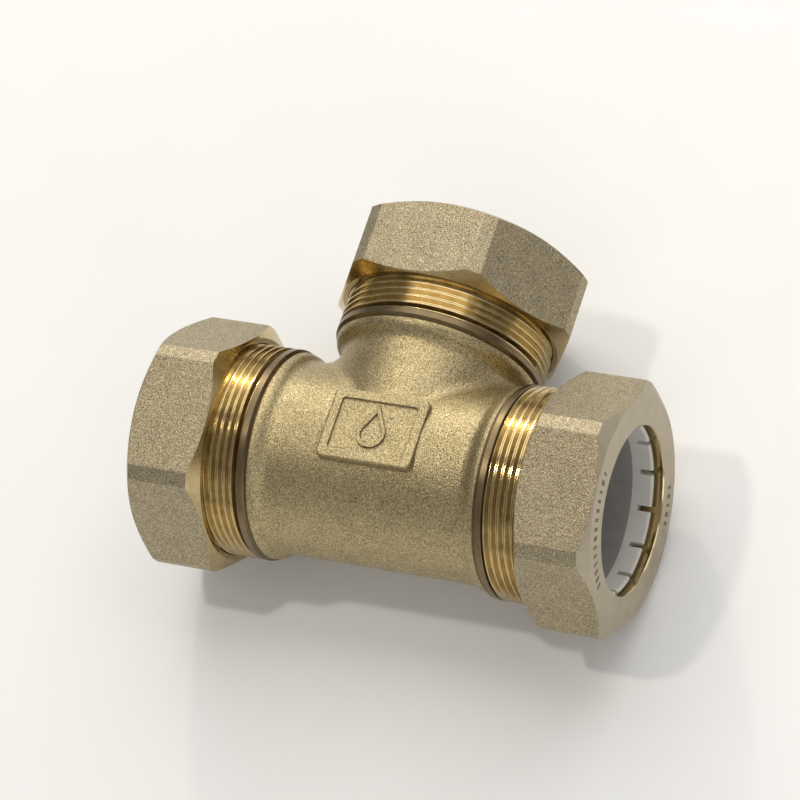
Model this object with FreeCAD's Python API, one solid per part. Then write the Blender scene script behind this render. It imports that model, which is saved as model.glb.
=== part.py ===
"""Push-in tee for 32 mm pipe: one forged brass body and three identical push-in ports.

Frame: millimetres, origin where the run axis and the branch axis cross. The run lies along X,
the branch points along +Y and +Z points up, square to both, through the badge on the body.
Each port is built on a local +Z axis that points outwards, with distances s measured from the
crossing point, and is then turned onto its own axis.
"""

import FreeCAD, Part
import math
import os

# ---- driving dimensions ------------------------------------------------------------------
PIPE_R = 16.0              # radius of the pipe that the fitting takes
PIPE_GAP = 0.25            # radial play between pipe and socket
WATERWAY_R = 13.5          # bore between the three sockets
STOP_S = 20.5              # shoulder that the pipe's end meets

RUN_TUBE_R = 19.5          # forged tube of the run
BRANCH_TUBE_R = 18.9       # forged tube of the branch
CROTCH_R = 3.5             # fillet where the branch leaves the run
FORGED_S = 22.5            # plain tubes of the forging reach this far into each arm
FLARE_S = (20.2, 24.2)     # each tube flares to the rim of its rough skin between these
RIM_R = 21.0
NICK = (24.4, 20.7)        # (s, r) of the nick that parts the rough skin from the turned collar
COLLAR_S = (24.95, 26.3)   # plain collar, as high as the thread
COLLAR_EDGE = 0.15
RELIEF_R = 20.5            # run-out groove between the collar and the thread
RELIEF_WIDTH = 0.4
BODY_END_S = 41.0
SEAL_BORE_R = 18.95        # counterbore that holds the seal, washer and thrust ring
SEAL_SEAT_S = 31.5

PITCH = 1.5                # right-hand thread M43 x 1.5
THREAD_R = 21.5            # major radius
THREAD_DEPTH = 0.9
CREST_HALF = 0.12          # half the crest's width along the axis
FLANK_SLOPE = math.tan(math.radians(30))
THREAD_PLAY = 0.14         # gap all round between body thread and nut thread

NUT_FLAT_R = 23.0          # half of the 46 mm across flats
NUT_CORNER_R = 25.65       # to the narrow facets that blunt the six corners
NUT_IN_S = 33.4            # face towards the body
NUT_OUT_S = 49.6           # face towards the pipe
NUT_EDGE_R = 0.7           # rounding of the long edges
NUT_FACE_R = 22.8          # outer face is turned down to this circle
NUT_BACK_R = 22.65         # and the face towards the body to this one
NUT_CHAMFER = math.tan(math.radians(30))
NUT_BORE_END_S = 43.5      # floor of the threaded bore
NUT_MAJOR_R = THREAD_R + 0.15
NUT_MINOR_R = THREAD_R - THREAD_DEPTH + 0.25
NUT_THREAD_S = (33.5, 42.3)
NUT_RIDGE_SUNK = 0.15      # the ridge is rooted this far into the nut's wall
MOUTH_R = 16.66
CONE_SLOPE = 0.5           # the bore widens by this from the mouth to the floor
MOUTH_EDGE = 0.3

GRIP_S = (43.0, 47.3)      # grip ring, from its base to the finger tips
GRIP_BORE_R = 16.65
GRIP_TIP_EDGE = 0.4        # rounding-off of the finger tips
GRIP_GAP = 0.13            # between the grip ring and the nut's cone
FINGERS = 14
SLOT_WIDTH = 1.1
SLOT_FROM_S = 44.4

THRUST_S = (37.0, 43.0)    # thrust ring, against the grip ring
WASHER_S = (34.4, 35.4)    # backing washer, with room for the thrust ring to come down
RING_BORE_R = 16.5         # bore of thrust ring and washer
RING_R = 18.7              # outside of thrust ring and washer
SEAL_BORE_IN_R = 16.05     # relaxed seal, just over the pipe
SEAL_SECTION_R = 1.38

BADGE = (20.2, 15.2)       # raised pad on top of the body, along X and Y
BADGE_TOP = 19.95
BADGE_BASE = 14.0
BADGE_RIM = 2.0
BADGE_RECESS = 0.45
BADGE_CORNER_R = 1.4
BADGE_EDGE_R = 0.35
DROP_R = 2.6               # round of the water drop on the badge
DROP_TIP = 5.4             # its tip, above the centre of the round
DROP_LINE = 0.8            # width of the raised outline
DROP_CENTRE_Y = -1.4

# Each nut stands turned by this many degrees from flat side up.
NUT_TURN = {"right": 19.5, "left": 12.6, "branch": 4.2}
# Each grip ring lies as it happened to drop in.
GRIP_TURN = {"right": -12.0, "left": 4.0, "branch": 9.0}

ORIGIN = FreeCAD.Vector(0, 0, 0)
UP = FreeCAD.Vector(0, 0, 1)
PORT_AXES = {
    "right": (FreeCAD.Vector(0, 1, 0), FreeCAD.Vector(0, 0, 1), FreeCAD.Vector(1, 0, 0)),
    "left": (FreeCAD.Vector(0, 1, 0), FreeCAD.Vector(0, 0, -1), FreeCAD.Vector(-1, 0, 0)),
    "branch": (FreeCAD.Vector(1, 0, 0), FreeCAD.Vector(0, 0, -1), FreeCAD.Vector(0, 1, 0)),
}


# ---- helpers -----------------------------------------------------------------------------
def placed(shape, port):
    """A copy of a shape made on the local axis, turned onto a port's own axis."""
    u, v, w = PORT_AXES[port]
    copy = shape.copy()
    copy.transformShape(FreeCAD.Matrix(u.x, v.x, w.x, 0, u.y, v.y, w.y, 0, u.z, v.z, w.z, 0, 0, 0, 0, 1))
    return copy


def turned(profile):
    """The solid of a closed (s, r) outline turned round the local axis."""
    points = [FreeCAD.Vector(r, 0, s) for s, r in profile]
    face = Part.Face(Part.makePolygon(points + [points[0]]))
    return face.revolve(ORIGIN, UP, 360)


def cylinder(radius, s_from, s_to):
    """A cylinder on the local axis."""
    return Part.makeCylinder(radius, s_to - s_from, FreeCAD.Vector(0, 0, s_from), UP)


def helical_ridge(inner_r, outer_r, inner_half, outer_half, s_from, s_to):
    """A right-hand ridge of trapezoid section, from inner_r to outer_r, over s_from to s_to."""
    path = Part.makeHelix(PITCH, s_to - s_from, inner_r)
    corners = [(inner_r, -inner_half), (outer_r, -outer_half), (outer_r, outer_half), (inner_r, inner_half)]
    points = [FreeCAD.Vector(r, 0, s) for r, s in corners]
    section = Part.makePolygon(points + [points[0]])
    ridge = Part.Wire(path.Edges).makePipeShell([section], True, True)
    ridge.translate(FreeCAD.Vector(0, 0, s_from))
    return ridge if ridge.Volume > 0 else ridge.reversed()


def flank_half(radius, play=0.0):
    """Half the body ridge's width at a radius, with the play added square to the flank."""
    widen = play / math.cos(math.radians(30))
    return CREST_HALF + (THREAD_R - radius) * FLANK_SLOPE + widen


# Threads of the body and of the nut are cut on this one helix, so that they are in mesh at rest.
HELIX_START_S = COLLAR_S[1] + 0.05


# ---- body --------------------------------------------------------------------------------
def flare(tube_r):
    """Two tangent arcs that lead the tube smoothly out to its rim, as edges in the XZ plane."""
    s0, s1 = FLARE_S
    length, rise = s1 - s0, RIM_R - tube_r
    radius = (length ** 2 + rise ** 2) / (4 * rise)
    half = math.asin(length / 2 / radius) / 2
    hollow = FreeCAD.Vector(tube_r + radius * (1 - math.cos(half)), 0, s0 + radius * math.sin(half))
    round_ = FreeCAD.Vector(RIM_R - radius * (1 - math.cos(half)), 0, s1 - radius * math.sin(half))
    start, end = FreeCAD.Vector(tube_r, 0, s0), FreeCAD.Vector(RIM_R, 0, s1)
    middle = (start + end) * 0.5
    return [Part.Arc(start, hollow, middle).toShape(), Part.Arc(middle, round_, end).toShape()]


def shank(tube_r):
    """One threaded end without its ridge: flare, nick, collar, run-out groove and thread core."""
    root_r = THREAD_R - THREAD_DEPTH
    groove_end = COLLAR_S[1] + RELIEF_WIDTH
    outline = [
        (FLARE_S[1], RIM_R), NICK, (COLLAR_S[0], THREAD_R),
        (COLLAR_S[1] - COLLAR_EDGE, THREAD_R), (COLLAR_S[1], THREAD_R - COLLAR_EDGE),
        (COLLAR_S[1], RELIEF_R), (groove_end, RELIEF_R), (groove_end, root_r), (BODY_END_S, root_r),
        (BODY_END_S, 0), (FLARE_S[0] - 1, 0), (FLARE_S[0] - 1, tube_r), (FLARE_S[0], tube_r),
    ]
    points = [FreeCAD.Vector(r, 0, s) for s, r in outline]
    edges = flare(tube_r) + [Part.makeLine(a, b) for a, b in zip(points, points[1:])]
    wire = Part.Wire(Part.__sortEdges__(edges))
    return Part.Face(wire).revolve(ORIGIN, UP, 360)


def body_ridge():
    """The body's thread ridge, tapered away at both ends."""
    sunk_r = THREAD_R - THREAD_DEPTH - 0.15
    ridge = helical_ridge(
        sunk_r, THREAD_R, flank_half(sunk_r), CREST_HALF, HELIX_START_S, BODY_END_S + PITCH,
    )
    first, last = COLLAR_S[1] + 0.1, BODY_END_S - 0.05
    ends = turned([
        (first, 0), (first, sunk_r - 0.2), (first + 0.4, THREAD_R + 0.1),
        (last - 0.85, THREAD_R + 0.1), (last, sunk_r - 0.2), (last, 0),
    ])
    return ridge.common(ends)


def forging():
    """Run tube and branch tube with a fillet all round the branch's foot."""
    start = FreeCAD.Vector(-FORGED_S, 0, 0)
    run = Part.makeCylinder(RUN_TUBE_R, 2 * FORGED_S, start, FreeCAD.Vector(1, 0, 0))
    branch = Part.makeCylinder(BRANCH_TUBE_R, FORGED_S, ORIGIN, FreeCAD.Vector(0, 1, 0))
    tubes = run.fuse(branch)
    foot = [e for e in tubes.Edges if on_foot(e)]
    return tubes.makeFillet(CROTCH_R, foot)


def on_foot(edge):
    """True for an edge that lies on both tubes."""
    for k in range(5):
        t = edge.FirstParameter + (edge.LastParameter - edge.FirstParameter) * k / 4
        p = edge.valueAt(t)
        on_run = abs(math.hypot(p.y, p.z) - RUN_TUBE_R) < 0.01
        on_branch = abs(math.hypot(p.x, p.z) - BRANCH_TUBE_R) < 0.01
        if not (on_run and on_branch and p.y > 0):
            return False
    return True


def port_inside():
    """The hollow of one arm: waterway, pipe socket and the counterbore for the seal."""
    socket_r = PIPE_R + PIPE_GAP
    return turned([
        (0, 0), (0, WATERWAY_R), (STOP_S, WATERWAY_R), (STOP_S, socket_r), (SEAL_SEAT_S, socket_r),
        (SEAL_SEAT_S, SEAL_BORE_R), (BODY_END_S - 0.5, SEAL_BORE_R), (BODY_END_S, SEAL_BORE_R + 0.5),
        (BODY_END_S + 1, SEAL_BORE_R + 0.5), (BODY_END_S + 1, 0),
    ])


def drop_wire(grow, z):
    """Outline of the water drop, grown outwards by grow, at height z."""
    radius = DROP_R + grow
    tip = DROP_TIP + grow * DROP_TIP / DROP_R
    angle = math.asin(radius / tip)
    side = FreeCAD.Vector(radius * math.cos(angle), DROP_CENTRE_Y + radius * math.sin(angle), z)
    other = FreeCAD.Vector(-side.x, side.y, z)
    top = FreeCAD.Vector(0, DROP_CENTRE_Y + tip, z)
    bottom = FreeCAD.Vector(0, DROP_CENTRE_Y - radius, z)
    arc = Part.Arc(side, bottom, other).toShape()
    return Part.Wire([Part.makeLine(top, side), arc, Part.makeLine(other, top)])


def badge():
    """The raised pad with its rim and a water drop in outline."""
    def block(inset, base, height, corner):
        x, y = BADGE[0] - 2 * inset, BADGE[1] - 2 * inset
        box = Part.makeBox(x, y, height, FreeCAD.Vector(-x / 2, -y / 2, base))
        upright = [e for e in box.Edges if abs(e.tangentAt(e.FirstParameter).z) > 0.9]
        return box.makeFillet(corner, upright)

    pad = block(0, BADGE_BASE, BADGE_TOP - BADGE_BASE, BADGE_CORNER_R)
    top = [e for e in pad.Edges if e.BoundBox.ZMin > BADGE_TOP - 0.01]
    pad = pad.makeFillet(BADGE_EDGE_R, top)
    floor = BADGE_TOP - BADGE_RECESS
    pad = pad.cut(block(BADGE_RIM, floor, 2 * BADGE_RECESS, 0.5))
    outer = Part.Face(drop_wire(DROP_LINE / 2, floor - 0.1)).extrude(UP * (BADGE_RECESS + 0.1))
    inner = Part.Face(drop_wire(-DROP_LINE / 2, floor - 0.1)).extrude(UP * (2 * BADGE_RECESS))
    return pad.fuse(outer.cut(inner))


def tee_body():
    """The forged body with its three threaded ends."""
    outside = forging()
    for port in PORT_AXES:
        tube_r = BRANCH_TUBE_R if port == "branch" else RUN_TUBE_R
        outside = outside.fuse(placed(shank(tube_r), port))
    outside = outside.fuse(badge())
    ridge = body_ridge()
    for port in PORT_AXES:
        outside = outside.fuse(placed(ridge, port))
    hollow = port_inside()
    for port in PORT_AXES:
        outside = outside.cut(placed(hollow, port))
    return outside


# ---- pieces of a port --------------------------------------------------------------------
def nut_ridge():
    """The nut's thread ridge, midway between the turns of the body's and tapered away at both ends."""
    root_r = NUT_MAJOR_R + NUT_RIDGE_SUNK
    half_pitch = PITCH / 2
    turns_before = math.floor((NUT_IN_S - HELIX_START_S) / PITCH) - 1
    ridge = helical_ridge(
        NUT_MINOR_R, root_r, half_pitch - flank_half(NUT_MINOR_R, THREAD_PLAY),
        half_pitch - flank_half(root_r, THREAD_PLAY),
        HELIX_START_S + PITCH * turns_before + half_pitch, NUT_BORE_END_S,
    )
    first, last = NUT_THREAD_S
    inner_r, outer_r = NUT_MINOR_R - 0.1, root_r + NUT_RIDGE_SUNK
    ends = turned([
        (first, outer_r), (first, NUT_MAJOR_R), (first + 0.9, inner_r),
        (last - 0.5, inner_r), (last, NUT_MAJOR_R), (last, outer_r),
    ])
    return ridge.common(ends)


def cone_r(s):
    """Radius of the nut's cone at distance s."""
    return MOUTH_R + (NUT_OUT_S - s) * CONE_SLOPE


def nut(port):
    """Union nut: a hexagon with blunted corners over a threaded bore and a gripping cone."""
    length = NUT_OUT_S - NUT_IN_S
    flat_at = 90 + NUT_TURN[port] if port == "right" else -90 - NUT_TURN[port]
    blank = None
    for across, shift in ((NUT_FLAT_R, 0), (NUT_CORNER_R, 30)):
        corner_r = across / math.cos(math.radians(30))
        angles = [math.radians(flat_at + shift + 30 + 60 * k) for k in range(6)]
        points = [FreeCAD.Vector(corner_r * math.cos(a), corner_r * math.sin(a), NUT_IN_S) for a in angles]
        prism = Part.Face(Part.makePolygon(points + [points[0]])).extrude(UP * length)
        blank = prism if blank is None else blank.common(prism)
    long_edges = [e for e in blank.Edges if e.BoundBox.ZLength > length / 2]
    blank = blank.makeFillet(NUT_EDGE_R, long_edges)
    reach = 4.0
    turned_down = turned([
        (NUT_IN_S, 0), (NUT_IN_S, NUT_BACK_R), (NUT_IN_S + reach * NUT_CHAMFER, NUT_BACK_R + reach),
        (NUT_OUT_S - reach * NUT_CHAMFER, NUT_FACE_R + reach), (NUT_OUT_S, NUT_FACE_R), (NUT_OUT_S, 0),
    ])
    blank = blank.common(turned_down)

    bore = turned([
        (NUT_IN_S - 1, 0), (NUT_IN_S - 1, NUT_MAJOR_R), (NUT_BORE_END_S, NUT_MAJOR_R),
        (NUT_BORE_END_S, cone_r(NUT_BORE_END_S)),
        (NUT_OUT_S - MOUTH_EDGE, cone_r(NUT_OUT_S - MOUTH_EDGE)),
        (NUT_OUT_S, MOUTH_R + MOUTH_EDGE), (NUT_OUT_S + 1, MOUTH_R + MOUTH_EDGE), (NUT_OUT_S + 1, 0),
    ])
    return placed(blank.cut(bore).fuse(nut_ridge()), port)


def grip_ring(port):
    """White grip ring: a wedge-shaped ring whose outer end is slotted into fingers."""
    base, tip = GRIP_S
    def outer(s):
        return cone_r(s) - GRIP_GAP
    knee = NUT_BORE_END_S + 0.1
    ring = turned([
        (base, GRIP_BORE_R), (base, outer(knee)), (knee, outer(knee)), (tip - 0.4, outer(tip - 0.4)),
        (tip, outer(tip) - GRIP_TIP_EDGE), (tip, GRIP_BORE_R + GRIP_TIP_EDGE), (tip - 0.4, GRIP_BORE_R),
    ])
    for k in range(FINGERS):
        slot = Part.makeBox(6, SLOT_WIDTH, 4, FreeCAD.Vector(GRIP_BORE_R - 2, -SLOT_WIDTH / 2, SLOT_FROM_S))
        slot.rotate(ORIGIN, UP, GRIP_TURN[port] + 360 / FINGERS * k)
        ring = ring.cut(slot)
    return placed(ring, port)


def thrust_ring(port):
    """Plain sleeve that passes the grip ring's push on to the seal."""
    s0, s1 = THRUST_S
    edge = 0.3
    return placed(turned([
        (s0, RING_BORE_R + edge), (s0, RING_R - edge), (s0 + edge, RING_R), (s1 - edge, RING_R),
        (s1, RING_R - edge), (s1, RING_BORE_R), (s0 + edge, RING_BORE_R),
    ]), port)


def backing_washer(port):
    """Flat steel washer that keeps the seal square."""
    return placed(cylinder(RING_R, *WASHER_S).cut(cylinder(RING_BORE_R, *WASHER_S)), port)


def seal(port):
    """O-ring on the seat at the bottom of the counterbore."""
    centre = FreeCAD.Vector(0, 0, SEAL_SEAT_S + SEAL_SECTION_R + 0.05)
    return placed(Part.makeTorus(SEAL_BORE_IN_R + SEAL_SECTION_R, SEAL_SECTION_R, centre, UP), port)


# ---- export ------------------------------------------------------------------------------
def main():
    """Builds every piece and writes one STEP file for each."""
    os.makedirs("parts", exist_ok=True)
    pieces = {"tee_body": tee_body()}
    for port in PORT_AXES:
        pieces[port + "_nut"] = nut(port)
        pieces[port + "_grip_ring"] = grip_ring(port)
        pieces[port + "_thrust_ring"] = thrust_ring(port)
        pieces[port + "_backing_washer"] = backing_washer(port)
        pieces[port + "_seal_ring"] = seal(port)
    for name, shape in pieces.items():
        box = shape.BoundBox
        print(name, "solids", len(shape.Solids), "valid", shape.isValid(), "volume", round(shape.Volume, 1),
              "x", round(box.XMin, 2), round(box.XMax, 2), "y", round(box.YMin, 2), round(box.YMax, 2),
              "z", round(box.ZMin, 2), round(box.ZMax, 2))
        shape.exportStep("parts/" + name + ".step")


main()
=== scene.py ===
"""Looks of a push-in brass tee: blasted forging, turned threads, white grip rings and a soft studio."""

import logging
import math
from collections.abc import Mapping
from dataclasses import dataclass, field
from enum import Enum
from typing import Any, Union

import bpy
from mathutils import Matrix, Vector


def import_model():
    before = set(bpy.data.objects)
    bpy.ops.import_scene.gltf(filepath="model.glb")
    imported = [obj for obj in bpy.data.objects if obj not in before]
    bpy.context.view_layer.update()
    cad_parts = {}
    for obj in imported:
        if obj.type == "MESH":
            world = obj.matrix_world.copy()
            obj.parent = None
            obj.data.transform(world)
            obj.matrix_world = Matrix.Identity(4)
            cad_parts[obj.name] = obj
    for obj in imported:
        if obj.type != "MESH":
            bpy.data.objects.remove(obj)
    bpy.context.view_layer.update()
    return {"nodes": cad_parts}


LOG = logging.getLogger("push_in_tee")
MM = 0.001
UP = Vector((0.0, 0.0, 1.0))
Value = Union[float, bpy.types.NodeSocket]
Colour = tuple[float, float, float, float]


class Port(Enum):
    """The three ports and the way each one points."""

    RIGHT = (1.0, 0.0, 0.0)
    LEFT = (-1.0, 0.0, 0.0)
    BRANCH = (0.0, 1.0, 0.0)

    @property
    def key(self) -> str:
        """The port's name as the CAD nodes carry it."""
        return self.name.lower()


def srgb(code: str) -> Colour:
    """Converts a hex colour to the linear colour that shaders use.

    Args:
        code: Six hex digits with a leading hash.

    Returns:
        Linear red, green, blue and an alpha of one.
    """
    parts = [int(code[i : i + 2], 16) / 255 for i in (1, 3, 5)]
    linear = [c / 12.92 if c <= 0.04045 else ((c + 0.055) / 1.055) ** 2.4 for c in parts]
    return (linear[0], linear[1], linear[2], 1.0)


def per_mm(size_mm: float) -> float:
    """Pattern scale whose cells are size_mm across, for coordinates in metres."""
    return 1.0 / (size_mm * MM)


def add(
    tree: bpy.types.NodeTree,
    kind: str,
    settings: Mapping[str, Any] | None = None,
    inputs: Mapping[Any, Any] | None = None,
) -> bpy.types.Node:
    """Adds one shader node with its settings, values and links.

    Args:
        tree: The node tree that takes it.
        kind: Blender's name for the node.
        settings: Attribute name to value.
        inputs: Socket name or number to a value, or to an output socket to link from.

    Returns:
        The new node.
    """
    made = tree.nodes.new(kind)
    for name, value in (settings or {}).items():
        setattr(made, name, value)
    for name, value in (inputs or {}).items():
        if isinstance(value, bpy.types.NodeSocket):
            tree.links.new(value, made.inputs[name])
        else:
            made.inputs[name].default_value = value
    return made


def calc(tree: bpy.types.NodeTree, operation: str, *values: Value) -> bpy.types.NodeSocket:
    """The result of a math node on up to three values."""
    return add(tree, "ShaderNodeMath", {"operation": operation}, dict(enumerate(values))).outputs[0]


def ramp(tree: bpy.types.NodeTree, value: Value, low: float, high: float) -> bpy.types.NodeSocket:
    """A smooth step from 0 at low to 1 at high.

    Args:
        tree: The node tree that takes it.
        value: What is measured.
        low: Value that gives 0.
        high: Value that gives 1, which may be the smaller one.

    Returns:
        The step's output.
    """
    inputs: dict[Any, Any] = {0: value, 1: low, 2: high, 3: 0.0, 4: 1.0}
    if low > high:
        inputs.update({1: high, 2: low, 3: 1.0, 4: 0.0})
    return add(tree, "ShaderNodeMapRange", {"interpolation_type": "SMOOTHSTEP"}, inputs).outputs[0]


def blend_colours(tree: bpy.types.NodeTree, factor: Value, low: Any, high: Any) -> bpy.types.NodeSocket:
    """A colour that goes from low to high with factor."""
    node = add(tree, "ShaderNodeMix", {"data_type": "RGBA"}, {0: factor, 6: low, 7: high})
    return node.outputs[2]


def noise(
    tree: bpy.types.NodeTree, where: bpy.types.NodeSocket, size_mm: float, detail: float = 2.0
) -> bpy.types.NodeSocket:
    """Noise from 0 to 1 whose features are size_mm across."""
    inputs = {"Vector": where, "Scale": per_mm(size_mm), "Detail": detail, "Roughness": 0.55}
    return add(tree, "ShaderNodeTexNoise", None, inputs).outputs[0]


def soft_edges(tree: bpy.types.NodeTree, radius_mm: float) -> bpy.types.NodeSocket:
    """A normal that rounds the mesh's edges over radius_mm."""
    return add(tree, "ShaderNodeBevel", {"samples": 4}, {"Radius": radius_mm * MM}).outputs[0]


def relief(
    tree: bpy.types.NodeTree, height: Value, depth_mm: float, strength: float, edge_mm: float = 0.0
) -> bpy.types.NodeSocket:
    """Raises and sinks the surface a little.

    Args:
        tree: The node tree that takes it.
        height: Height from about 0 to 1.
        depth_mm: What a height of 1 stands for.
        strength: Share of it that shows.
        edge_mm: Radius over which the mesh's edges look rounded.

    Returns:
        The changed normal.
    """
    inputs = {"Strength": strength, "Distance": depth_mm * MM, "Height": height}
    if edge_mm > 0.0:
        inputs["Normal"] = soft_edges(tree, edge_mm)
    return add(tree, "ShaderNodeBump", None, inputs).outputs[0]


def principled(
    tree: bpy.types.NodeTree, colour: Any, roughness: Value, normal: bpy.types.NodeSocket, metallic: float
) -> bpy.types.NodeSocket:
    """Adds the main shader and returns its output."""
    inputs = {"Base Color": colour, "Roughness": roughness, "Normal": normal, "Metallic": metallic}
    return add(tree, "ShaderNodeBsdfPrincipled", None, inputs).outputs[0]


@dataclass
class Place:
    """Coordinates of a surface point on the CAD's own frame, and on one port's axis.

    Attributes:
        tree: The node tree.
        axis: The port's direction, or None on the tee body, where the nearest arm counts.
    """

    tree: bpy.types.NodeTree
    axis: Vector | None = None
    point: bpy.types.NodeSocket = field(init=False)
    normal: bpy.types.NodeSocket = field(init=False)

    def __post_init__(self) -> None:
        """Adds the coordinate nodes."""
        coordinates = add(self.tree, "ShaderNodeTexCoord")
        self.point = coordinates.outputs["Object"]
        self.normal = coordinates.outputs["Normal"]

    def dot(self, vector: bpy.types.NodeSocket, other: Any) -> bpy.types.NodeSocket:
        """The dot product of a socket with a socket or a fixed vector."""
        product = {"operation": "DOT_PRODUCT"}
        return add(self.tree, "ShaderNodeVectorMath", product, {0: vector, 1: other}).outputs["Value"]

    def along(self) -> bpy.types.NodeSocket:
        """Measures along the port's axis.

        Returns:
            Distance from the crossing point, in millimetres.
        """
        if self.axis is not None:
            return calc(self.tree, "MULTIPLY", self.dot(self.point, self.axis), 1 / MM)
        parts = add(self.tree, "ShaderNodeSeparateXYZ", None, {0: self.point}).outputs
        arm = calc(self.tree, "MAXIMUM", calc(self.tree, "ABSOLUTE", parts[0]), parts[1])
        return calc(self.tree, "MULTIPLY", arm, 1 / MM)

    def radius(self) -> bpy.types.NodeSocket:
        """Measures square to the axis of the point's arm.

        Returns:
            Distance from that axis, in millimetres.
        """
        square = self.dot(self.point, self.point)
        metres = calc(self.tree, "MULTIPLY", self.along(), MM)
        rest = calc(self.tree, "SUBTRACT", square, calc(self.tree, "MULTIPLY", metres, metres))
        root = calc(self.tree, "SQRT", calc(self.tree, "MAXIMUM", rest, 0.0))
        return calc(self.tree, "MULTIPLY", root, 1 / MM)


@dataclass(frozen=True)
class BlastedBrass:
    """Shot-blasted forging skin: a pale champagne metal with a fine grain, painted glints and painted shade
    in its corners.

    Attributes:
        dark: Colour in the grain's hollows.
        light: Colour on the grain's tops.
        bright: Colour of the painted glints on single spots of the grain.
        roughness: Lowest and highest roughness.
        grain_mm: Size of one blast mark.
        glint_mm: Size of the patches that take a painted glint.
        depth_mm: Depth of a blast mark.
        swell_mm: Size of the gentle swells under the marks.
        pit_gap_mm: Distance between two deeper pits.
        grime: Colour of the shade painted into corners and recesses.
        grime_mm: How far out of a corner the painted shade reaches.
    """

    dark: str = "#736548"
    light: str = "#CDBC90"
    bright: str = "#EFE0B4"
    roughness: tuple[float, float] = (0.34, 0.54)
    grain_mm: float = 0.28
    glint_mm: float = 0.26
    depth_mm: float = 0.085
    swell_mm: float = 1.1
    pit_gap_mm: float = 5.5
    grime: str = "#5A4E3A"
    grime_mm: float = 0.7

    def shade(self, place: Place) -> bpy.types.NodeSocket:
        """Builds the finish.

        Args:
            place: Where the surface's points are.

        Returns:
            The shader's output.
        """
        tree = place.tree
        fine = noise(tree, place.point, self.grain_mm, 1.5)
        patch = noise(tree, place.point, 4.5)
        marks = calc(tree, "MULTIPLY", ramp(tree, fine, 0.32, 0.68), 0.7)
        tone = calc(tree, "MULTIPLY_ADD", patch, 0.3, marks)
        colour = blend_colours(tree, tone, srgb(self.dark), srgb(self.light))
        # Painted glints: sparse single spots of the grain get a lighter colour, standing in for highlights.
        painted_glints = ramp(tree, noise(tree, place.point, self.glint_mm, 0.0), 0.58, 0.74)
        colour = blend_colours(tree, calc(tree, "MULTIPLY", painted_glints, 0.5), colour, srgb(self.bright))
        # Painted shade: an ambient occlusion term darkens the colour in corners and recesses.
        corner = add(tree, "ShaderNodeAmbientOcclusion", {"samples": 4}, {"Distance": self.grime_mm * MM})
        grime = calc(tree, "MULTIPLY", ramp(tree, corner.outputs["AO"], 0.9, 0.45), 0.6)
        colour = blend_colours(tree, grime, colour, srgb(self.grime))
        coarse = calc(tree, "MULTIPLY_ADD", noise(tree, place.point, self.swell_mm), 0.8, fine)
        spread = {"Vector": place.point, "Scale": per_mm(self.pit_gap_mm)}
        pits = add(tree, "ShaderNodeTexVoronoi", None, spread)
        hollow = ramp(tree, pits.outputs["Distance"], 0.07, 0.02)
        height = calc(tree, "SUBTRACT", coarse, calc(tree, "MULTIPLY", hollow, 1.5))
        low, high = self.roughness
        sheen = {0: noise(tree, place.point, 0.6), 1: 0.25, 2: 0.75, 3: low, 4: high}
        rough = add(tree, "ShaderNodeMapRange", None, sheen).outputs[0]
        return principled(tree, colour, rough, relief(tree, height, self.depth_mm, 1.0, 0.35), metallic=1.0)


@dataclass(frozen=True)
class TurnedBrass:
    """Lathe-turned brass: warm and bright, with fine rings left by the tool.

    Attributes:
        dark: Colour where the metal has dulled.
        light: Colour of fresh metal.
        roughness: Mean roughness.
        ring_mm: Distance between two tool marks.
    """

    dark: str = "#A89268"
    light: str = "#DAC798"
    roughness: float = 0.17
    ring_mm: float = 0.11

    def shade(self, place: Place) -> bpy.types.NodeSocket:
        """Builds the finish.

        Args:
            place: Where the surface's points are.

        Returns:
            The shader's output.
        """
        tree = place.tree
        mottle = noise(tree, place.point, 2.2)
        colour = blend_colours(tree, mottle, srgb(self.dark), srgb(self.light))
        turns = calc(tree, "MULTIPLY", place.along(), math.tau / self.ring_mm)
        wobble = calc(tree, "MULTIPLY", noise(tree, place.point, 0.8), 5.0)
        rings = calc(tree, "SINE", calc(tree, "ADD", turns, wobble))
        height = calc(tree, "MULTIPLY_ADD", rings, 0.25, noise(tree, place.point, 0.5))
        rough = calc(tree, "MULTIPLY_ADD", mottle, 0.14, self.roughness - 0.07)
        return principled(tree, colour, rough, relief(tree, height, 0.008, 0.5, 0.08), metallic=1.0)


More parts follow.
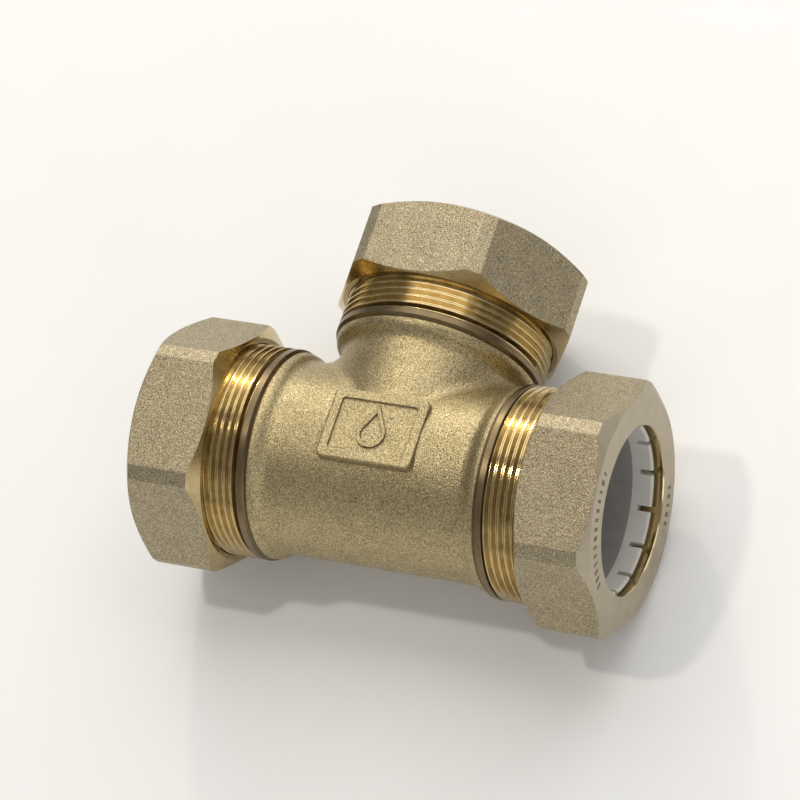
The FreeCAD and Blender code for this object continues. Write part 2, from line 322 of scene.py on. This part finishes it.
@dataclass(frozen=True)
class StampedBrass:
    """Pale matte end face of a nut, with plain dashes stamped into it.

    Attributes:
        dark: Colour of the dull face.
        light: Colour of its lighter patches.
        stamped: Colour at the bottom of a dash.
        ring_r_mm: Radius of the circle of dashes.
        dash_mm: Length of a dash, along the radius.
        step_deg: Angle from one dash to the next.
        arcs_deg: Start and end angle of each stamped arc, about the port's axis.
    """

    dark: str = "#988D78"
    light: str = "#CDC3AE"
    stamped: str = "#4A4030"
    ring_r_mm: float = 20.0
    dash_mm: float = 1.9
    step_deg: float = 5.2
    arcs_deg: tuple[tuple[float, float], ...] = ((95.0, 165.0), (-75.0, -48.0))

    def shade(self, place: Place) -> bpy.types.NodeSocket:
        """Builds the finish.

        Args:
            place: Where the surface's points are.

        Returns:
            The shader's output.
        """
        tree = place.tree
        fine = noise(tree, place.point, 0.4)
        patch = noise(tree, place.point, 3.5)
        tone = calc(tree, "MULTIPLY_ADD", patch, 0.6, calc(tree, "MULTIPLY", fine, 0.4))
        clean = blend_colours(tree, tone, srgb(self.dark), srgb(self.light))
        dash = self.dashes(place)
        colour = blend_colours(tree, calc(tree, "MULTIPLY", dash, 0.75), clean, srgb(self.stamped))
        height = calc(tree, "SUBTRACT", calc(tree, "MULTIPLY", fine, 0.3), dash)
        rough = calc(tree, "MULTIPLY_ADD", patch, 0.15, 0.42)
        return principled(tree, colour, rough, relief(tree, height, 0.06, 0.8, 0.35), metallic=1.0)

    def dashes(self, place: Place) -> bpy.types.NodeSocket:
        """Lays out the stamped dashes.

        Args:
            place: Where the surface's points are.

        Returns:
            A mask that is 1 inside a dash.
        """
        tree = place.tree
        side = UP.cross(place.axis)
        angle = calc(tree, "ARCTAN2", place.dot(place.point, UP), place.dot(place.point, side))
        degrees = calc(tree, "MULTIPLY", angle, 180 / math.pi)
        steps = calc(tree, "DIVIDE", degrees, self.step_deg)
        number = calc(tree, "FLOOR", steps)
        across = calc(tree, "ABSOLUTE", calc(tree, "SUBTRACT", calc(tree, "SUBTRACT", steps, number), 0.5))
        chance = add(tree, "ShaderNodeTexWhiteNoise", {"noise_dimensions": "1D"}, {"W": number})
        width = calc(tree, "MULTIPLY_ADD", chance.outputs["Value"], 0.16, 0.12)
        line = ramp(tree, calc(tree, "SUBTRACT", across, width), 0.05, 0.0)
        half = self.dash_mm / 2
        offset = calc(tree, "ABSOLUTE", calc(tree, "SUBTRACT", place.radius(), self.ring_r_mm))
        band = ramp(tree, offset, half, half - 0.15)
        inside: Value = 0.0
        for start, end in self.arcs_deg:
            after, before = calc(tree, "GREATER_THAN", degrees, start), calc(tree, "LESS_THAN", degrees, end)
            inside = calc(tree, "MAXIMUM", calc(tree, "MULTIPLY", after, before), inside)
        return calc(tree, "MULTIPLY", calc(tree, "MULTIPLY", line, band), inside)


@dataclass(frozen=True)
class MouldedPlastic:
    """Moulded acetal: satin, with a faint flow mottle and light scattered just below the skin.

    Attributes:
        dark: Colour of its darker flow lines.
        light: Main colour.
        roughness: Mean roughness.
        glow: Share of light scattered below the skin.
    """

    dark: str
    light: str
    roughness: float = 0.38
    glow: float = 0.0

    def shade(self, place: Place) -> bpy.types.NodeSocket:
        """Builds the finish.

        Args:
            place: Where the surface's points are.

        Returns:
            The shader's output.
        """
        tree = place.tree
        flow = noise(tree, place.point, 2.5, 3.0)
        colour = blend_colours(tree, flow, srgb(self.dark), srgb(self.light))
        grain = noise(tree, place.point, 0.25)
        rough = calc(tree, "MULTIPLY_ADD", flow, 0.12, self.roughness - 0.06)
        made = principled(tree, colour, rough, relief(tree, grain, 0.01, 0.3, 0.15), metallic=0.0)
        sockets = made.node.inputs
        sockets["Subsurface Weight"].default_value = self.glow
        sockets["Subsurface Radius"].default_value = (0.8, 0.75, 0.7)
        sockets["Subsurface Scale"].default_value = 0.5 * MM
        return made


@dataclass(frozen=True)
class MouldedRubber:
    """Black seal rubber: matte, with a dusty bloom.

    Attributes:
        dark: Colour of clean rubber.
        light: Colour under the bloom.
    """

    dark: str = "#0E0E0E"
    light: str = "#2A2927"

    def shade(self, place: Place) -> bpy.types.NodeSocket:
        """Builds the finish.

        Args:
            place: Where the surface's points are.

        Returns:
            The shader's output.
        """
        tree = place.tree
        bloom = noise(tree, place.point, 1.2, 4.0)
        colour = blend_colours(tree, bloom, srgb(self.dark), srgb(self.light))
        normal = relief(tree, noise(tree, place.point, 0.3), 0.02, 0.4)
        rough = calc(tree, "MULTIPLY_ADD", bloom, 0.2, 0.55)
        return principled(tree, colour, rough, normal, metallic=0.0)


@dataclass(frozen=True)
class PressedSteel:
    """Pressed steel washer: grey, with rolled streaks.

    Attributes:
        dark: Colour of the darker streaks.
        light: Colour of the brighter ones.
    """

    dark: str = "#6F6E6B"
    light: str = "#A9A7A2"

    def shade(self, place: Place) -> bpy.types.NodeSocket:
        """Builds the finish.

        Args:
            place: Where the surface's points are.

        Returns:
            The shader's output.
        """
        tree = place.tree
        streaks = add(tree, "ShaderNodeMapping", None, {"Vector": place.point, "Scale": (1.0, 12.0, 1.0)})
        rolled = noise(tree, streaks.outputs[0], 3.0, 3.0)
        colour = blend_colours(tree, rolled, srgb(self.dark), srgb(self.light))
        rough = calc(tree, "MULTIPLY_ADD", rolled, 0.2, 0.25)
        return principled(tree, colour, rough, relief(tree, rolled, 0.01, 0.3), metallic=1.0)


@dataclass(frozen=True)
class PaleTable:
    """Pale painted tabletop with a barely visible mottle.

    Attributes:
        dark: Colour of the mottle.
        light: Main colour.
    """

    dark: str = "#FAFAF9"
    light: str = "#FFFFFF"

    def shade(self, place: Place) -> bpy.types.NodeSocket:
        """Builds the finish.

        Args:
            place: Where the surface's points are.

        Returns:
            The shader's output.
        """
        tree = place.tree
        mottle = noise(tree, place.point, 30.0, 3.0)
        colour = blend_colours(tree, mottle, srgb(self.dark), srgb(self.light))
        return principled(tree, colour, 0.7, relief(tree, mottle, 0.02, 0.05), metallic=0.0)


def new_material(name: str) -> bpy.types.Material:
    """Makes an empty material.

    Args:
        name: Its name.

    Returns:
        The material, ready to take nodes.
    """
    made = bpy.data.materials.new(name)
    made.use_nodes = True
    made.node_tree.nodes.clear()
    return made


def close(tree: bpy.types.NodeTree, shader: bpy.types.NodeSocket) -> None:
    """Links a shader to the material's output."""
    add(tree, "ShaderNodeOutputMaterial", None, {"Surface": shader})


def mix(tree: bpy.types.NodeTree, factor: Value, low: Any, high: Any) -> bpy.types.NodeSocket:
    """A shader that goes from low to high with factor."""
    return add(tree, "ShaderNodeMixShader", None, {0: factor, 1: low, 2: high}).outputs[0]


def plain_material(name: str, finish: Any, axis: Vector | None = None) -> bpy.types.Material:
    """Makes a material that shows one finish all over.

    Args:
        name: Its name.
        finish: A finish with a shade method.
        axis: The port's direction, if the finish needs it.

    Returns:
        The material.
    """
    made = new_material(name)
    close(made.node_tree, finish.shade(Place(made.node_tree, axis)))
    return made


def wear(node: bpy.types.Object, material: bpy.types.Material) -> None:
    """Gives a CAD node its material and reports it.

    Args:
        node: The CAD node.
        material: What it wears.
    """
    node.data.materials.clear()
    node.data.materials.append(material)
    LOG.info("%s wears %s", node.name, material.name)


@dataclass
class TeeBody:
    """The forged body: blasted outside, turned on its threads and in its bores.

    Attributes:
        thread_from_mm: Distance from the crossing point at which turning starts.
        bore_r_mm: Surfaces nearer to an axis than this are turned too.
        collar_to_mm: Distance at which the plain collar, painted darker as shade, ends and the thread
            begins.
        skin: Finish of the forging.
        turned: Finish of threads and bores.
        dull: Finish of the plain collar: turned brass a little rougher, with its colours darkened as painted
            shade.
    """

    thread_from_mm: float = 24.3
    bore_r_mm: float = 17.4
    collar_to_mm: float = 26.4
    skin: BlastedBrass = BlastedBrass()
    turned: TurnedBrass = TurnedBrass()
    dull: TurnedBrass = TurnedBrass(dark="#6A5C46", light="#8A795B", roughness=0.34)

    def material(self) -> bpy.types.Material:
        """Blends the three finishes of the body.

        Returns:
            The material.
        """
        made = new_material("forged_brass_blasted_skin_and_turned_threads")
        tree = made.node_tree
        place = Place(tree)
        ragged = calc(tree, "MULTIPLY_ADD", noise(tree, place.point, 1.4), 0.2, place.along())
        thread = ramp(tree, ragged, self.thread_from_mm + 0.2, self.thread_from_mm + 0.3)
        bore = ramp(tree, place.radius(), self.bore_r_mm + 0.1, self.bore_r_mm)
        mask = calc(tree, "MAXIMUM", thread, bore)
        # Painted shade: the plain collar before the thread gets darker colours than the turned thread,
        # standing in for the shade on this band.
        before_thread = ramp(tree, ragged, self.collar_to_mm + 0.2, self.collar_to_mm)
        collar = calc(tree, "MULTIPLY", thread, before_thread)
        metal = mix(tree, collar, self.turned.shade(place), self.dull.shade(place))
        close(tree, mix(tree, mask, self.skin.shade(place), metal))
        return made

    def dress(self, nodes: Mapping[str, bpy.types.Object]) -> None:
        """Puts the material on the CAD node."""
        wear(nodes["tee_body"], self.material())


@dataclass
class UnionNut:
    """A hexagon nut: blasted flats, turned back chamfer, thread and lip, and a stamped matte face.

    Attributes:
        port: The port it belongs to.
        lip_r_mm: Surfaces nearer to the axis than this are turned.
        skin: Finish of the flats.
        turned: Finish of the turned parts.
        face: Finish of the end face.
    """

    port: Port
    lip_r_mm: float = 21.9
    skin: BlastedBrass = BlastedBrass(dark="#776C57", light="#C2B597", roughness=(0.4, 0.6))
    turned: TurnedBrass = TurnedBrass()
    face: StampedBrass = StampedBrass()

    def material(self) -> bpy.types.Material:
        """Blends the three finishes of the nut.

        Returns:
            The material.
        """
        made = new_material(f"hexagon_brass_blasted_flats_and_turned_ends_{self.port.key}")
        tree = made.node_tree
        place = Place(tree, Vector(self.port.value))
        facing = place.dot(place.normal, place.axis)
        outward = ramp(tree, facing, 0.3, 0.6)
        backward = ramp(tree, facing, -0.3, -0.6)
        bore = ramp(tree, place.radius(), self.lip_r_mm, self.lip_r_mm - 0.1)
        tilted = ramp(tree, calc(tree, "SUBTRACT", 1.0, facing), 0.02, 0.06)
        turned_part = calc(tree, "MAXIMUM", backward, calc(tree, "MULTIPLY", bore, tilted))
        outside = mix(tree, outward, self.skin.shade(place), self.face.shade(place))
        close(tree, mix(tree, turned_part, outside, self.turned.shade(place)))
        return made

    def dress(self, nodes: Mapping[str, bpy.types.Object]) -> None:
        """Puts the material on the CAD node."""
        wear(nodes[f"{self.port.key}_nut"], self.material())


@dataclass
class PortInsides:
    """What sits inside a port: grip ring, thrust ring, washer and seal.

    Attributes:
        port: The port it belongs to.
    """

    port: Port

    def dress(
        self, nodes: Mapping[str, bpy.types.Object], finishes: Mapping[str, bpy.types.Material]
    ) -> None:
        """Puts each inner piece's material on its CAD node.

        Args:
            nodes: The CAD nodes by name.
            finishes: Ending of a node's name to its material.
        """
        for ending, material in finishes.items():
            wear(nodes[f"{self.port.key}_{ending}"], material)


def inner_finishes() -> dict[str, bpy.types.Material]:
    """Makes the materials that the three ports' inner pieces share.

    Returns:
        Ending of a node's name to its material.
    """
    white = MouldedPlastic(dark="#D9D7D0", light="#ECEAE5", roughness=0.36, glow=0.25)
    grey = MouldedPlastic(dark="#938F8D", light="#AAA6A4", roughness=0.45)
    return {
        "grip_ring": plain_material("acetal_moulded_satin_white", white),
        "thrust_ring": plain_material("acetal_moulded_satin_grey", grey),
        "backing_washer": plain_material("steel_pressed_rolled_grey", PressedSteel()),
        "seal_ring": plain_material("nitrile_rubber_moulded_dusty_black", MouldedRubber()),
    }


@dataclass
class Softbox:
    """A rectangular lamp that points at the object.

    Attributes:
        name: Its name.
        toward: Direction from the object to the lamp.
        distance: How far away it hangs, in metres.
        size: Width and height in metres.
        watts: Its power.
        colour: Its colour.
    """

    name: str
    toward: tuple[float, float, float]
    distance: float
    size: tuple[float, float]
    watts: float
    colour: str = "#FFFFFF"

    def build(self) -> None:
        """Makes the lamp and links it into the scene."""
        data = bpy.data.lights.new(self.name, "AREA")
        data.shape = "RECTANGLE"
        data.size, data.size_y = self.size
        data.energy = self.watts
        data.color = srgb(self.colour)[:3]
        lamp = bpy.data.objects.new(self.name, data)
        away = Vector(self.toward).normalized()
        aim = away.to_track_quat("Z", "Y").to_matrix().to_4x4()
        lamp.matrix_world = Matrix.Translation(away * self.distance) @ aim
        bpy.context.scene.collection.objects.link(lamp)


@dataclass
class Studio:
    """Floor, lamps, surroundings and camera.

    Attributes:
        floor_z: Height of the tabletop, in metres.
        floor_size: Its width, in metres.
        surround: Colour of the dim room.
        surround_strength: Its brightness.
        camera_at: Where the camera stands, in metres.
        camera_right: The picture's rightward direction.
        camera_up: The picture's upward direction.
        focal_mm: Focal length.
        sensor_mm: Width of the sensor.
        lamps: The lamps.
    """

    floor_z: float = -25.66 * MM
    floor_size: float = 6.0
    surround: str = "#FFFFFF"
    surround_strength: float = 0.285
    camera_at: tuple[float, float, float] = (339.118 * MM, -333.461 * MM, 752.172 * MM)
    camera_right: tuple[float, float, float] = (0.91273, 0.29777, -0.27976)
    camera_up: tuple[float, float, float] = (-0.14055, 0.87177, 0.46933)
    focal_mm: float = 201.0
    sensor_mm: float = 36.0
    lamps: tuple[Softbox, ...] = (
        Softbox("back_top", (0.0, 0.6, 0.8), 1.3, (1.5, 1.2), 9.6, "#FFFCF6"),
        Softbox("back_wide", (-0.2, 0.9, 0.35), 1.4, (1.6, 0.6), 2.85),
        Softbox("spot_behind", (-0.35, 0.74, 0.55), 1.0, (0.06, 0.06), 0.95, "#FFF6E6"),
        Softbox("spot_above", (-0.25, -0.05, 0.95), 1.0, (0.06, 0.06), 1.45, "#FFF6E6"),
        Softbox("right_top", (0.6, 0.1, 0.8), 1.3, (0.6, 0.6), 1.06),
        Softbox("front_top", (0.1, -0.6, 0.8), 1.3, (0.6, 0.6), 0.75),
        Softbox("front_card", (-0.2, -0.95, 0.22), 1.3, (1.8, 0.5), 0.85),
        Softbox("right_card", (0.6, -0.7, 0.35), 1.3, (0.6, 0.6), 1.86),
    )

    def build(self) -> None:
        """Builds the stage and sets the camera."""
        bpy.ops.mesh.primitive_plane_add(size=self.floor_size, location=(0.0, 0.0, self.floor_z))
        floor = bpy.context.object
        floor.name = "floor"
        floor.data.materials.append(plain_material("paint_matte_pale_table", PaleTable()))
        for lamp in self.lamps:
            lamp.build()
        self.surroundings()
        self.camera()

    def surroundings(self) -> None:
        """A dim even room, which the metal mirrors between the lamps."""
        world = bpy.data.worlds.new("room")
        bpy.context.scene.world = world
        world.use_nodes = True
        tree = world.node_tree
        tree.nodes.clear()
        glow = {"Color": srgb(self.surround), "Strength": self.surround_strength}
        light = add(tree, "ShaderNodeBackground", None, glow)
        add(tree, "ShaderNodeOutputWorld", None, {"Surface": light.outputs[0]})

    def camera(self) -> None:
        """Sets a long lens above the right front of the fitting, rolled so that the run slopes down."""
        data = bpy.data.cameras.new("camera")
        data.lens = self.focal_mm
        data.sensor_width = self.sensor_mm
        data.clip_end = 20.0
        data.dof.use_dof = False
        eye = bpy.data.objects.new("camera", data)
        right, up = Vector(self.camera_right), Vector(self.camera_up)
        back = right.cross(up)
        turn = Matrix((right, up, back)).transposed().to_4x4()
        eye.matrix_world = Matrix.Translation(Vector(self.camera_at)) @ turn
        bpy.context.scene.collection.objects.link(eye)
        bpy.context.scene.camera = eye


def main() -> None:
    """Loads the CAD frame, dresses every piece and builds the studio."""
    logging.basicConfig(level=logging.INFO, format="%(message)s")
    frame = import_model()
    nodes = frame["nodes"]
    TeeBody().dress(nodes)
    finishes = inner_finishes()
    for port in Port:
        UnionNut(port).dress(nodes)
        PortInsides(port).dress(nodes, finishes)
    Studio().build()
    scene = bpy.context.scene
    scene.view_settings.view_transform = "Standard"


if __name__ == "__main__":
    main()
